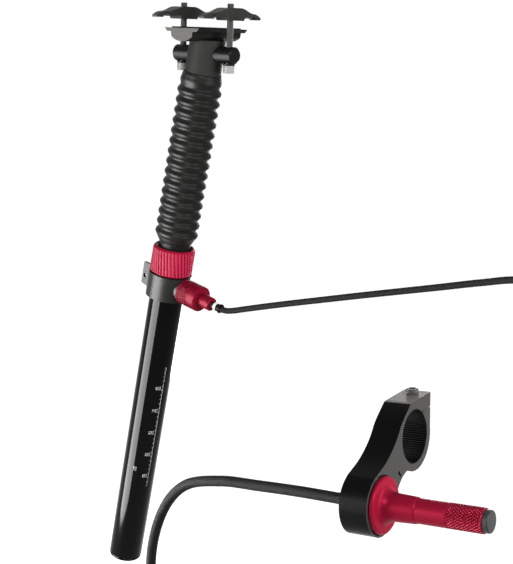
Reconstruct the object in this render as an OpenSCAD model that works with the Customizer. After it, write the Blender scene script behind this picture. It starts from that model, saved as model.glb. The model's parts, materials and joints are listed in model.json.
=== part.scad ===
// Dropper seatpost: a spring-raised inner post in an outer tube, a ribbed gaiter between them,
// a two-bolt saddle clamp on top, a cable-drawn lock pin and a joystick remote for the handlebar.
// Millimetres. +Z runs up the post and +X is the side that the lock-pin actuator faces.
// The origin lies on the tube's axis, at the lower end of its full-diameter wall.

/* [Outer tube] */
// Outside diameter of the tube, which slides into the frame
tube_d = 27.2; // [26:0.1:31.6]
// Wall of the outer tube
tube_wall = 1.6; // [1.2:0.1:2]
// Length of full-diameter tube below the clamp band
insert_l = 235.5; // [200:0.5:350]
// Radial step down of the tube under the clamp band and collar
seat_step = 0.3; // [0.05:0.05:0.5]
// Height of the rounded base cap below the tube
base_h = 3; // [2:0.5:6]
// Depth of the base cap's plug inside the tube
plug_h = 10; // [6:1:20]
// Radial step in from the tube to the base cap
cap_step = 0.3; // [0.05:0.05:0.5]

/* [Clamp band] */
// Outside diameter of the band that carries the actuator
band_d = 34; // [33:0.5:40]
// Height of the band
band_h = 19.5; // [17:0.5:26]
// Reach of the rear lug from the tube's axis
lug_reach = 27.5; // [24:0.5:34]
// Thickness of the rear lug
lug_t = 2.5; // [2:0.5:6]
// Diameter of the hole in the rear lug
lug_hole_d = 3.5; // [2.5:0.5:5]

/* [Gaiter collar] */
// Outside diameter of the threaded collar
collar_d = 33.4; // [32.5:0.1:40]
// Height of the collar
collar_h = 22.2; // [18:0.2:28]
// Number of grip flutes round the collar
flutes = 36; // [24:1:48]
// Depth of a grip flute
flute_depth = 0.6; // [0.3:0.1:0.9]
// Radius of a grip flute's cutter
flute_r = 1.2; // [0.8:0.1:1.6]

/* [Inner post] */
// Outside diameter of the sliding inner post
post_d = 22; // [21:0.1:22.6]
// Wall of the inner post
post_wall = 2; // [1.5:0.1:3]
// Distance that the saddle drops
travel = 80; // [40:5:90]
// Length of the upper bushing
bushing_l = 44; // [36:1:60]
// Length of the lower guide sleeve
guide_l = 30; // [20:1:50]
// Height of the rubber ring that ends the upward stroke
bumper_h = 4; // [3:0.5:8]
// Diameter of the main spring's wire
spring_wire = 2.4; // [1.6:0.1:2.6]
// Number of turns of the main spring
spring_turns = 20; // [14:1:22]

/* [Gaiter] */
// Number of ribs
ribs = 16; // [8:1:24]
// Spacing of the ribs
rib_pitch = 7.97; // [6:0.01:10]
// Radius at a rib's crest
rib_r = 17.1; // [16.4:0.1:20]
// Radius at the valley between two ribs
valley_r = 15.2; // [15.1:0.1:16]
// Wall of the gaiter
gaiter_wall = 1; // [0.8:0.1:1.2]
// Height from the collar's top to the lowest crest
gaiter_rise = 11.6; // [9:0.2:16]
// Height from the highest crest to the gaiter's upper edge
cuff_h = 6.3; // [5:0.1:9]
// Radius of the gaiter's upper edge
cuff_r = 14.6; // [14.4:0.1:15.2]

/* [Saddle clamp] */
// Height from the gaiter's upper edge to the axis of the clamp bar
bar_rise = 14; // [11:0.2:20]
// Nose-up tilt of the clamp as photographed
clamp_tilt = 10.5; // [0:0.5:12]
// Radius at the lower end of the neck
neck_r_low = 13.8; // [13.5:0.1:14.4]
// Radius at the upper end of the neck
neck_r_top = 13.1; // [12.6:0.1:13.5]
// Diameter of the clamp bar
bar_d = 12.4; // [11:0.2:13]
// Length of the clamp bar
bar_l = 59; // [57:0.5:70]
// Spacing of the two clamp bolts
bolt_span = 46.4; // [46:0.2:48]
// Diameter of the clamp bolts
bolt_d = 5; // [4:0.5:6]
// Height of the tilt axis above the bar
tilt_h = 26; // [25:0.5:28]
// Radius of the cradle's belly and of the neck's saddle
belly_r = 17; // [16:0.2:18]
// Height of the cradle's flat top above the bar
cradle_top = 19.4; // [18:0.2:21]
// Length of the cradle along the rails
cradle_l = 34; // [30:1:36]
// Width of the cradle across the rails
cradle_w = 53; // [50:1:58]
// Thickness of the cradle's flange
flange_t = 3.4; // [3:0.1:4.4]
// Diameter of the saddle's rails
rail_d = 7; // [6.8:0.1:7.2]
// Spacing of the saddle's rails, centre to centre
rail_span = 44; // [42:0.5:46]
// Height of a yoke's rail hook above the rail in the cradle, loose as photographed
yoke_lift = 4; // [2:0.5:8]
// Height of a yoke's peak above its hook's centre
yoke_peak = 9; // [8:0.5:12]
// Span of a yoke, tip to tip
yoke_w = 62; // [58:1:66]
// Depth of a yoke at its middle
yoke_depth = 15; // [13.5:0.5:15.5]

/* [Lock-pin actuator] */
// Height of the pin's axis above the band's lower edge
pin_rise = 10; // [9:0.5:13]
// Diameter of the lock pin
pin_d = 5; // [4:0.5:6]
// Distance that the cable draws the pin
pin_travel = 3; // [2:0.5:4]
// Diameter of the actuator's body
act_d = 20; // [17:0.5:21]
// Length of the actuator's body
act_l = 18.8; // [17:0.2:26]
// Diameter of the actuator's nose
nose_d = 10.6; // [9:0.2:14]
// Length of the actuator's nose
nose_l = 11.5; // [9:0.5:18]
// Diameter of the cable ferrule
ferrule_d = 7.4; // [6:0.2:9]

/* [Cable] */
// Diameter of the cable's housing
cable_d = 4.6; // [4:0.1:5]
// Diameter of the inner wire
wire_d = 1.2; // [1:0.1:1.6]

/* [Remote] */
// Width of the remote's body along the handlebar
remote_t = 12; // [11:0.5:16]
// Radius of the ring that holds the joystick
ring_r = 12.6; // [12.4:0.1:15]
// Diameter of the handlebar
handlebar_d = 22.2; // [21.8:0.1:25.4]
// Wall of the handlebar clamp
clamp_wall = 3.1; // [2.6:0.1:5]
// Distance from the joystick's axis to the handlebar's axis
bar_offset = 36; // [33:0.5:42]
// Turn of the clamp's screw pad round the handlebar
pad_turn = 59.7; // [45:0.1:75]
// Depth of the clamp's slit below the pad
slit_depth = 6; // [5:0.2:7]
// Radius of the joystick's flange
flange_r = 11.35; // [10.8:0.05:11.4]
// Length of the joystick in front of the ring, without its plug
lever_l = 43; // [36:0.5:52]
// Radius of the joystick's rod
rod_r = 4.9; // [4.4:0.1:5.2]

/* [Hidden] */
$fn = 64;

// Colours of the finishes
red = [0.72, 0.09, 0.22];
satin_black = [0.2, 0.2, 0.19];
gloss_black = [0.06, 0.06, 0.06];
rubber_black = [0.16, 0.16, 0.16];
dark_grey = [0.25, 0.25, 0.24];
silver = [0.75, 0.75, 0.74];
white_nylon = [0.85, 0.84, 0.8];

// Radial clearance of a pressed or threaded fit, of a running fit and of loose neighbours
press = 0.02;
run = 0.05;
loose = 0.3;
// Reach of a cutter past the face that it opens
over = 1;

// Outer tube and what stands on it
tube_r = tube_d / 2;
bore_r = tube_r - tube_wall;
seat_r = tube_r - seat_step;
band_r = band_d / 2;
band_top = insert_l + band_h;
collar_r = collar_d / 2;
collar_top = band_top + collar_h;
thread_l = 9;
tube_top = band_top + thread_l;
wiper_h = 4;
lip_h = 4;
bead_z = tube_top + wiper_h;

// Inner post
post_r = post_d / 2;
bushing_z = tube_top - bushing_l;
guide_top = bushing_z - bumper_h - loose;
post_z = guide_top - guide_l;
perch_h = 4;
perch_plug_h = 10;
spring_r = post_r - spring_wire / 2 - 1;

// Gaiter
rib_first = collar_top + gaiter_rise;
rib_last = rib_first + (ribs - 1) * rib_pitch;
gaiter_top = rib_last + cuff_h;
gaiter_neck_r = post_r + loose + gaiter_wall;
skirt_h = 10;
skirt_r = cuff_r - gaiter_wall - loose;

// Saddle clamp
bar_z = gaiter_top + bar_rise;
bar_r = bar_d / 2;
bolt_r = bolt_d / 2;
spot_depth = 0.4;
bolt_sway = 0.45;
yoke_sway = 1;
washer_t = 1.2;
washer_r = bolt_r + 2;
head_r = bolt_r + 1.8;
head_h = 5.6;
bolt_tip = 3;
rail_r = rail_d / 2;
rail_z = cradle_top + 1.5;
belly_half = 9.5;
hook_z = rail_z + yoke_lift;
hook_wall = 2;
horn_top = tilt_h - belly_r + 0.9;
post_top = bar_z - bar_r / cos(clamp_tilt) - post_r * tan(clamp_tilt) - loose;

// Lock-pin actuator
pin_z = insert_l + pin_rise;
pin_r = pin_d / 2;
pin_tip = post_r + loose;
boss_x = band_r + 0.2;
boss_r = min(act_d / 2, band_h - pin_rise) - loose;
act_end = boss_x + act_l;
act_wall = 4;
pin_head_x = boss_x + 2.6;
pin_head_t = 2;
pin_head_r = pin_r + 1.7;
chamber_r = pin_head_r + 0.6;
pin_spring_wire = 0.8;
pin_spring_r = pin_head_r - pin_spring_wire / 2 - 0.2;
pin_spring_x = pin_head_x + pin_head_t;
pin_spring_l = act_end - act_wall - pin_spring_x;
pin_tail_l = 4;
nose_end = act_end + nose_l;
spigot_r = 3;
spigot_l = 3;
ferrule_l = 9.5;
cable_x = nose_end + ferrule_l;
wire_r = wire_d / 2;

// Joystick remote. Its frame has X along the joystick and Z from the ring to the handlebar.
remote_turn = [-59, -17, 7];
bar_grip_r = handlebar_d / 2;
clamp_r = bar_grip_r + clamp_wall;
pivot_x = 12;
rim_x = 0.45;
ball_r = norm([flange_r, pivot_x - rim_x]);
liner_t = 0.5;
liner_r = ball_r + run;
dish_r = liner_r + liner_t + run;
screw_r = 1.5;
screw_head_r = 2.7;
screw_head_h = 2.2;
slit_w = 0.4;
pad_l = clamp_r + 2.2;
flank_u = -2;
flank_turn = 33;
screw_u = clamp_r - screw_r - 1.1;
screw_l = slit_depth + slit_w / 2 + 2.4;
plug_r = rod_r - 0.5;
plug_l = 2.5;
plug_spigot_l = 6;
anchor_r = 2.1;
anchor_l = 6;

// Points on the cable's centre line, from the actuator's ferrule to the back of the remote
cable_points = [
    [57, 0, 245.5], [62.5, 0, 246.2], [69, 0, 248.8], [79, 0, 253.8], [97, 0, 262.8], [117, 0, 272.6],
    [150, 0, 288.5], [180, -1, 303], [210, -3, 317.4], [240, -7, 332], [270, -14, 347],
    [300, -26, 361.5], [329, -44, 370], [358, -66, 369], [384, -92, 356], [405, -122, 329],
    [416, -154, 290], [415, -186, 248], [403, -216, 212], [381, -244, 190], [355, -267, 184],
    [329, -286, 192], [309, -298, 212], [298, -305, 239], [294, -309, 268], [297, -310, 293],
    [307, -310, 311], [324, -308, 321], [342, -305.5, 327], [361, -303, 333], [385, -300, 340]];
cable_start = [1, 0, 0];
remote_at = cable_points[len(cable_points) - 1];
ring_step = 11.5;

// Unit vector of v
function unit(v) = v / norm(v);

// v turned by the three angles of a rotate()
function turned(v, a) =
    let (x = [v[0], v[1] * cos(a[0]) - v[2] * sin(a[0]), v[1] * sin(a[0]) + v[2] * cos(a[0])],
         y = [x[0] * cos(a[1]) + x[2] * sin(a[1]), x[1], -x[0] * sin(a[1]) + x[2] * cos(a[1])])
    [y[0] * cos(a[2]) - y[1] * sin(a[2]), y[0] * sin(a[2]) + y[1] * cos(a[2]), y[2]];

// Point at share u of the smooth curve from b to c, which passes a before and d after
function smooth(a, b, c, d, u) =
    (2 * b + (c - a) * u + (2 * a - 5 * b + 4 * c - d) * u * u
     + (3 * b - a - 3 * c + d) * u * u * u) / 2;

// Smooth path through the points p, which leaves along first and arrives along last
function route(p, first, last, step) =
    let (n = len(p),
         head = p[1] - 2 * norm(p[1] - p[0]) * first,
         tail = p[n - 2] + 2 * norm(p[n - 1] - p[n - 2]) * last,
         q = concat([head], p, [tail]))
    concat([for (i = [1 : n - 1])
                let (m = max(1, round(norm(q[i + 1] - q[i]) / step)))
                for (k = [0 : m - 1]) smooth(q[i - 1], q[i], q[i + 1], q[i + 2], k / m)],
           [p[n - 1]]);

// Directions along a path, with the two end directions given
function headings(p, first, last) =
    [for (i = [0 : len(p) - 1])
        i == 0 ? first : i == len(p) - 1 ? last : unit(p[i + 1] - p[i - 1])];

// Direction square to each heading, carried along the path without twist
function sideways(t, start) =
    [for (i = 0, n = unit(start - (start * t[0]) * t[0]); i < len(t);
          n = i + 1 < len(t) ? unit(n - (n * t[i + 1]) * t[i + 1]) : n, i = i + 1) n];

// Round bar of radius r swept along a path
module swept(p, first, last, r, sides) {
    t = headings(p, first, last);
    s = sideways(t, [0.2, 0.1, 1]);
    n = len(p);
    points = [for (i = [0 : n - 1], j = [0 : sides - 1])
        p[i] + r * (s[i] * cos(360 * j / sides) + cross(t[i], s[i]) * sin(360 * j / sides))];
    walls = [for (i = [0 : n - 2], j = [0 : sides - 1])
        let (a = i * sides, b = a + sides, k = (j + 1) % sides)
        each [[a + j, b + j, b + k], [a + j, b + k, a + k]]];
    end = (n - 1) * sides;
    caps = [for (j = [1 : sides - 2]) each [[0, j, j + 1], [end, end + j + 1, end + j]]];
    polyhedron(points, concat(walls, caps), convexity = 10);
}

// Coil spring along +Z, of length l and mean radius r
module coil(l, r, wire, turns) {
    steps = 8 * turns;
    a = 360 * turns;
    p = [for (i = [0 : steps])
        [r * cos(a * i / steps), r * sin(a * i / steps), wire / 2 + (l - wire) * i / steps]];
    swept(p, [0, 1, 0], [0, 1, 0], wire / 2, 6);
}

// Ring along +Z between two heights
module ring(r_out, r_in, z0, z1) {
    translate([0, 0, z0])
        difference() {
            cylinder(h = z1 - z0, r = r_out);
            translate([0, 0, -over]) cylinder(h = z1 - z0 + 2 * over, r = r_in);
        }
}

// Cylinder along +X between two stations
module rod_x(r, x0, x1) {
    translate([x0, 0, 0]) rotate([0, 90, 0]) cylinder(h = x1 - x0, r = r);
}

// Places of the sub-assemblies
module at_pin() { translate([0, 0, pin_z]) children(); }
module at_clamp() { translate([0, 0, bar_z]) rotate([0, -clamp_tilt, 0]) children(); }
module at_remote() { translate(remote_at) rotate(remote_turn) translate([remote_t, 0, 0]) children(); }

// Outer tube, stepped down under the band and drilled for the lock pin
module outer_tube() {
    color(gloss_black)
    difference() {
        union() {
            cylinder(h = insert_l, r = tube_r);
            cylinder(h = tube_top, r = seat_r);
        }
        translate([0, 0, -over]) cylinder(h = tube_top + 2 * over, r = bore_r);
        at_pin() rod_x(pin_r + run, 0, tube_d);
    }
}

// Base cap with a rounded edge and a plug that carries the main spring
module base_cap() {
    edge = base_h * 0.8;
    cap_r = tube_r - cap_step;
    color(gloss_black)
    rotate_extrude() {
        translate([0, -base_h]) square([cap_r - edge, base_h]);
        translate([0, -base_h + edge]) square([cap_r, base_h - edge]);
        intersection() {
            translate([cap_r - edge, -base_h + edge]) circle(r = edge);
            translate([cap_r - edge, -base_h]) square([edge, base_h]);
        }
        square([bore_r - press, plug_h]);
    }
}

// Upper bushing inside the tube, with the lock pin's cross hole
module upper_bushing() {
    color(white_nylon)
    difference() {
        ring(bore_r - press, post_r + run, bushing_z, tube_top);
        at_pin() rod_x(pin_r + run, 0, tube_d);
    }
}

// Rubber ring under the bushing that ends the upward stroke, clear of the post by a share of the gap
module topout_bumper() {
    open = 0.3 * (bore_r - post_r);
    color(rubber_black) ring(bore_r - press, post_r + open, bushing_z - bumper_h, bushing_z);
}

// Wiper seal on the tube's upper end
module wiper_seal() {
    color(rubber_black) ring(seat_r - press, post_r + run, tube_top, tube_top + wiper_h);
}

// Threaded collar with grip flutes, a chamfered top and a lip over the gaiter's bead
module gaiter_collar() {
    chamfer = 1.6;
    base_land = 0.8;
    lip_r = gaiter_neck_r + loose;
    color(red)
    difference() {
        rotate_extrude()
            polygon([[seat_r + press, band_top], [collar_r, band_top], [collar_r, collar_top - chamfer],
                     [collar_r - chamfer, collar_top], [lip_r, collar_top], [lip_r, collar_top - lip_h],
                     [seat_r + press, collar_top - lip_h]]);
        for (i = [0 : flutes - 1])
            rotate([0, 0, 360 * i / flutes])
                translate([collar_r + flute_r - flute_depth, 0, band_top + base_land])
                    cylinder(h = collar_h, r = flute_r);
    }
}

// Clamp band with the actuator's boss in front and a drilled lug behind
module clamp_band() {
    lug_drop = 17.5;
    hole_x = lug_reach - lug_hole_d / 2 - 1.2;
    color(satin_black)
    difference() {
        union() {
            translate([0, 0, insert_l]) cylinder(h = band_h, r = band_r);
            at_pin() rod_x(boss_r, 0, boss_x);
            rotate([90, 0, 0])
                linear_extrude(height = lug_t)
                    polygon([[-seat_r, insert_l], [-band_r, insert_l],
                             [-lug_reach, band_top - lug_drop], [-lug_reach, band_top],
                             [-seat_r, band_top]]);
        }
        translate([0, 0, insert_l - band_h]) cylinder(h = 3 * band_h, r = seat_r + press);
        at_pin() rod_x(pin_r + run, 0, band_d);
        translate([-hole_x, 0, band_top - lug_drop / 2 - 2])
            rotate([90, 0, 0]) cylinder(h = 3 * lug_t, r = lug_hole_d / 2, center = true);
    }
}

// Actuator body: the chamber of the pin's return spring, with a threaded end
module actuator_body() {
    chamfer = 1;
    color(red)
    at_pin()
    difference() {
        rotate([0, 90, 0])
            rotate_extrude()
                polygon([[0, boss_x], [act_d / 2, boss_x], [act_d / 2, act_end - chamfer],
                         [act_d / 2 - chamfer, act_end], [0, act_end]]);
        rod_x(chamber_r, boss_x - over, act_end - act_wall);
        rod_x(spigot_r + press, act_end - spigot_l, act_end + over);
        rod_x(wire_r + loose, boss_x, act_end);
    }
}

// Nose that screws into the actuator and holds the ferrule
module actuator_nose() {
    chamfer = 0.8;
    color(red)
    at_pin()
    difference() {
        rotate([0, 90, 0])
            rotate_extrude()
                polygon([[0, act_end - spigot_l], [spigot_r, act_end - spigot_l], [spigot_r, act_end],
                         [nose_d / 2, act_end], [nose_d / 2, nose_end - chamfer],
                         [nose_d / 2 - chamfer, nose_end], [0, nose_end]]);
        rod_x(wire_r + loose, act_end - spigot_l - over, nose_end + over);
        rod_x(spigot_r - 0.5 + press, nose_end - spigot_l, nose_end + over);
    }
}

// Stepped ferrule on the end of the cable's housing
module cable_ferrule() {
    collar_l = 2.2;
    blind = 2;
    color(silver)
    at_pin()
    difference() {
        union() {
            rod_x(spigot_r - 0.5, nose_end - spigot_l, nose_end + over);
            rod_x(ferrule_d / 2 - 0.5, nose_end, cable_x);
            rod_x(ferrule_d / 2, cable_x - collar_l, cable_x);
        }
        rod_x(wire_r + loose, nose_end - spigot_l - over, cable_x - blind);
    }
}

// Lock pin, drawn clear of the post, with a shoulder for its spring and a tail for the wire
module lock_pin() {
    tip_chamfer = 0.6;
    color(silver)
    at_pin()
    rotate([0, 90, 0])
        rotate_extrude()
            polygon([[0, pin_tip], [pin_r - tip_chamfer, pin_tip], [pin_r, pin_tip + tip_chamfer],
                     [pin_r, pin_head_x], [pin_head_r, pin_head_x],
                     [pin_head_r, pin_head_x + pin_head_t], [pin_r - 0.6, pin_head_x + pin_head_t],
                     [pin_r - 0.6, pin_spring_x + pin_tail_l], [0, pin_spring_x + pin_tail_l]]);
}

// Return spring between the pin's shoulder and the end of the actuator's chamber
module pin_spring() {
    turns = 5;
    color(silver)
    at_pin()
    translate([pin_spring_x + press, 0, 0])
        rotate([0, 90, 0]) coil(pin_spring_l - 2 * press, pin_spring_r, pin_spring_wire, turns);
}

// Inner wire from the pin's tail into the ferrule
module inner_wire() {
    reach = 4;
    color(silver)
    at_pin() rod_x(wire_r, pin_spring_x + pin_tail_l, nose_end + reach);
}

// Sliding inner post with two cross holes for the lock pin, at the top and bottom of the stroke
module stanchion() {
    color(gloss_black)
    difference() {
        ring(post_r, post_r - post_wall, post_z, post_top);
        for (z = [0, travel])
            translate([0, 0, pin_z + z]) rod_x(pin_r + 0.2, 0, post_d);
    }
}

// Guide sleeve on the post's lower end, which runs in the tube
module lower_guide() {
    color(white_nylon) ring(bore_r - run, post_r + press, post_z, guide_top);
}

// Plug in the post's lower end that the main spring pushes on
module spring_perch() {
    color(silver) {
        translate([0, 0, post_z - perch_h]) cylinder(h = perch_h, r = post_r);
        translate([0, 0, post_z - over]) cylinder(h = perch_plug_h + over, r = post_r - post_wall - press);
    }
}

// Main spring between the base cap and the perch
module main_spring() {
    color(silver)
    translate([0, 0, plug_h + press])
        coil(post_z - perch_h - plug_h - loose, spring_r, spring_wire, spring_turns);
}

// Height above the valley at share u of a rib, with a round crest and a round valley
function rib_rise(u) = (1 - cos(360 * u)) / 2;

// Ribbed gaiter with its bore, a bead under the collar's lip and a cuff round the neck
module gaiter() {
    steps = 8;
    bead_h = 3;
    foot = rib_first - rib_pitch / 2;
    bead_r = seat_r - loose;
    outer = concat(
        [[gaiter_neck_r, bead_z + bead_h + loose], [gaiter_neck_r, collar_top + 2]],
        [for (i = [0 : ribs * steps])
            [valley_r + (rib_r - valley_r) * rib_rise((i % steps) / steps), foot + rib_pitch * i / steps]],
        [[cuff_r, gaiter_top]]);
    inner = [for (i = [len(outer) - 1 : -1 : 0]) [outer[i][0] - gaiter_wall, outer[i][1]]];
    color(rubber_black)
    rotate_extrude() {
        polygon(concat(outer, inner));
        translate([gaiter_neck_r - gaiter_wall, bead_z + loose])
            square([bead_r - gaiter_neck_r + gaiter_wall, bead_h]);
    }
}

// Head: a tapered neck with the post's socket, the bar's cross bore and the cradle's saddle
module head_neck() {
    rise = 2 * tilt_h;
    color(dark_grey)
    difference() {
        union() {
            translate([0, 0, gaiter_top - skirt_h]) cylinder(h = skirt_h + 2 * loose, r = skirt_r);
            translate([0, 0, gaiter_top + loose])
                cylinder(h = bar_rise + tilt_h, r1 = neck_r_low, r2 = neck_r_top);
        }
        translate([0, 0, gaiter_top - skirt_h - over])
            cylinder(h = post_top - gaiter_top + skirt_h + over, r = post_r + press);
        at_clamp() {
            rod_x(bar_r + press, -bar_l, bar_l);
            translate([-bar_l / 2, -bar_l / 2, horn_top]) cube([bar_l, bar_l, rise]);
            translate([0, 0, tilt_h])
                rotate([90, 0, 0]) cylinder(h = bar_l, r = belly_r + run, center = true);
        }
    }
}

// Bar through the neck, spot-faced and drilled near its ends for the clamp bolts
module clamp_bar() {
    chamfer = 1.2;
    half = bar_l / 2;
    color(satin_black)
    at_clamp()
    difference() {
        rotate([0, 90, 0])
            rotate_extrude()
                polygon([[0, -half], [bar_r - chamfer, -half], [bar_r, chamfer - half],
                         [bar_r, half - chamfer], [bar_r - chamfer, half], [0, half]]);
        for (side = [-1, 1])
            translate([side * bolt_span / 2, 0, 0]) {
                cylinder(h = bar_d + 2 * over, r = bolt_r + bolt_sway, center = true);
                translate([0, 0, -bar_r - over]) cylinder(h = over + spot_depth, r = washer_r + loose);
            }
    }
}

// Cradle: one profile across the post, round-bellied below, with the two rail grooves on top
module saddle_cradle() {
    chamfer = 2.4;
    half = cradle_l / 2;
    under = cradle_top - flange_t;
    lip_drop = 0.8;
    color(dark_grey)
    at_clamp()
    difference() {
        rotate([90, 0, 0])
            linear_extrude(height = cradle_w, center = true) {
                polygon([[-half, cradle_top], [-half, cradle_top - 1], [-half + chamfer, under],
                         [half - chamfer, under], [half, cradle_top - 1], [half, cradle_top]]);
                intersection() {
                    translate([0, tilt_h]) circle(r = belly_r);
                    polygon([[-belly_half, tilt_h - belly_r], [belly_half, tilt_h - belly_r],
                             [belly_half + 1.5, under + 1], [-belly_half - 1.5, under + 1]]);
                }
            }
        for (side = [-1, 1]) {
            translate([0, side * rail_span / 2, rail_z]) rod_x(rail_r, -cradle_l, cradle_l);
            translate([0, side * (rail_span + cradle_w) / 2, cradle_top - lip_drop + cradle_l])
                cube([2 * cradle_l, cradle_w, 2 * cradle_l], center = true);
        }
    }
}

// Share of a smooth rise at share t of its run
function ease(t) = (1 - cos(180 * t)) / 2;

// Yoke over one end of the cradle: a gull-wing profile cut to a pointed plan, hooked over both rails
module yoke() {
    boss_half = 8;
    tip_half = 2.6;
    tip_drop = 0.8;
    half = yoke_w / 2;
    rail_y = rail_span / 2;
    crown = boss_half / 2;
    tip = hook_z + 2.4;
    shoulder = hook_z + rail_r + hook_wall - 0.3;
    top = hook_z + yoke_peak;
    hook_steps = 4;
    wing_steps = 8;
    wing = concat(
        [for (i = [0 : hook_steps])
            [half + (rail_y - half) * i / hook_steps, tip + (shoulder - tip) * sin(90 * i / hook_steps)]],
        [for (i = [1 : wing_steps])
            [rail_y + (crown - rail_y) * i / wing_steps,
             shoulder + (top - shoulder) * ease(i / wing_steps)]]);
    other_wing = [for (i = [len(wing) - 1 : -1 : 0]) [-wing[i][0], wing[i][1]]];
    difference() {
        intersection() {
            rotate([90, 0, 90])
                linear_extrude(height = yoke_depth, center = true)
                    difference() {
                        polygon(concat(
                            [[-boss_half, hook_z], [boss_half, hook_z], [boss_half + 2, hook_z + 2.4],
                             [rail_y - 2, hook_z + 1.6], [rail_y, hook_z + tip_drop],
                             [half, hook_z + tip_drop]],
                            wing, other_wing,
                            [[-half, hook_z + tip_drop], [-rail_y, hook_z + tip_drop],
                             [-rail_y + 2, hook_z + 1.6], [-boss_half - 2, hook_z + 2.4]]));
                        for (side = [-1, 1])
                            translate([side * rail_y, hook_z]) circle(r = rail_r);
                    }
            linear_extrude(height = top + over)
                polygon([[-yoke_depth / 2, 0], [-tip_half, half], [tip_half, half], [yoke_depth / 2, 0],
                         [tip_half, -half], [-tip_half, -half]]);
        }
        translate([0, 0, hook_z - over])
            linear_extrude(height = yoke_peak + 2 * over)
                union() {
                    for (side = [-1, 1])
                        translate([side * yoke_sway, 0]) circle(r = bolt_r + loose);
                    square([2 * yoke_sway, bolt_d + 2 * loose], center = true);
                }
    }
}
module front_yoke() { color(dark_grey) at_clamp() translate([bolt_span / 2, 0, 0]) yoke(); }
module rear_yoke() { color(dark_grey) at_clamp() translate([-bolt_span / 2, 0, 0]) yoke(); }

// Heights of a bolt's washer and head below the bar
washer_z = -bar_r + spot_depth - loose - washer_t;

// Socket-head bolt that rises through the bar and the yoke
module clamp_bolt() {
    socket_r = bolt_r * 0.8;
    socket_h = bolt_d * 0.6;
    difference() {
        union() {
            translate([0, 0, washer_z - head_h]) cylinder(h = head_h, r = head_r);
            translate([0, 0, washer_z - over])
                cylinder(h = hook_z + yoke_peak + bolt_tip - washer_z + over, r = bolt_r);
        }
        translate([0, 0, washer_z - head_h - over]) cylinder(h = socket_h + over, r = socket_r, $fn = 6);
    }
}
module front_bolt() { color(silver) at_clamp() translate([bolt_span / 2, 0, 0]) clamp_bolt(); }
module rear_bolt() { color(silver) at_clamp() translate([-bolt_span / 2, 0, 0]) clamp_bolt(); }

// Washer between a bolt's head and the bar
module bolt_washer() { ring(washer_r, bolt_r + press, washer_z, washer_z + washer_t); }
module front_washer() { color(satin_black) at_clamp() translate([bolt_span / 2, 0, 0]) bolt_washer(); }
module rear_washer() { color(satin_black) at_clamp() translate([-bolt_span / 2, 0, 0]) bolt_washer(); }

// Housed cable from the actuator to the remote
module cable() {
    remote_heading = turned([1, 0, 0], remote_turn);
    path = route(cable_points, cable_start, remote_heading, ring_step);
    color(gloss_black) swept(path, cable_start, remote_heading, cable_d / 2, 10);
}

// Outline of the remote's body: the joystick's ring, the handlebar clamp with its square
// screw pad, and an arm between them that is hollowed on both flanks
module remote_outline() {
    waist_z = 17.5;
    front_waist = 5;
    back_waist = -10;
    front_r = 14;
    back_r = 40;
    circle(r = ring_r);
    translate([0, bar_offset])
        difference() {
            union() {
                circle(r = clamp_r);
                rotate(pad_turn) polygon([[0, 0], [clamp_r, 0], [pad_l, clamp_r], [0, clamp_r]]);
            }
            rotate(pad_turn)
                translate([flank_u, sqrt(clamp_r * clamp_r - flank_u * flank_u)])
                    rotate(flank_turn) translate([-clamp_r, 0]) square(clamp_r);
        }
    difference() {
        polygon([[-ring_r, 0], [ring_r, 0], [clamp_r, bar_offset], [-clamp_r, bar_offset]]);
        translate([front_waist + front_r, waist_z]) circle(r = front_r);
        translate([back_waist - back_r, waist_z]) circle(r = back_r);
    }
}

// Remote body with the handlebar's bore, the clamp slit and the joystick's dished seat
module remote_body() {
    seat_depth = 0.35;
    slot = [1, 3, 1.1];
    slot_at = [-1, 0.5, 17];
    screw_floor = clamp_r - screw_l - loose;
    color(gloss_black)
    at_remote()
    difference() {
        translate([-remote_t, 0, 0])
            rotate([90, 0, 90])
                linear_extrude(height = remote_t)
                    difference() {
                        remote_outline();
                        translate([0, bar_offset]) {
                            circle(r = bar_grip_r);
                            rotate(pad_turn)
                                translate([0, clamp_r - slit_depth - slit_w / 2])
                                    square([2 * clamp_r, slit_w]);
                        }
                    }
        translate([pivot_x, 0, 0]) sphere(r = dish_r);
        rod_x(wire_r + loose, -remote_t - over, 0);
        translate([-remote_t / 2, 0, bar_offset])
            rotate([pad_turn, 0, 0])
                translate([0, screw_u, screw_floor]) cylinder(h = clamp_r, r = screw_r + press);
        translate(slot_at) cube(slot + [over, 0, 0]);
    }
}

// Clamp screw, square to the pad
module remote_screw() {
    socket_r = screw_r * 0.7;
    socket_h = screw_head_h * 0.6;
    color(satin_black)
    at_remote()
    translate([-remote_t / 2, 0, bar_offset])
        rotate([pad_turn, 0, 0])
            translate([0, screw_u, clamp_r])
                difference() {
                    union() {
                        cylinder(h = screw_head_h, r = screw_head_r);
                        translate([0, 0, -screw_l]) cylinder(h = screw_l + over, r = screw_r);
                    }
                    translate([0, 0, screw_head_h - socket_h])
                        cylinder(h = socket_h + over, r = socket_r, $fn = 6);
                }
}

// Thin bearing liner between the joystick's ball face and the ring's dish
module seat_liner() {
    rim_r = 10.4;
    eye_r = 3;
    color(white_nylon)
    at_remote()
    difference() {
        intersection() {
            translate([pivot_x, 0, 0]) sphere(r = liner_r + liner_t);
            rod_x(rim_r, -remote_t, 0);
        }
        translate([pivot_x, 0, 0]) sphere(r = liner_r);
        rod_x(eye_r, -remote_t - over, over);
    }
}

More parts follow.
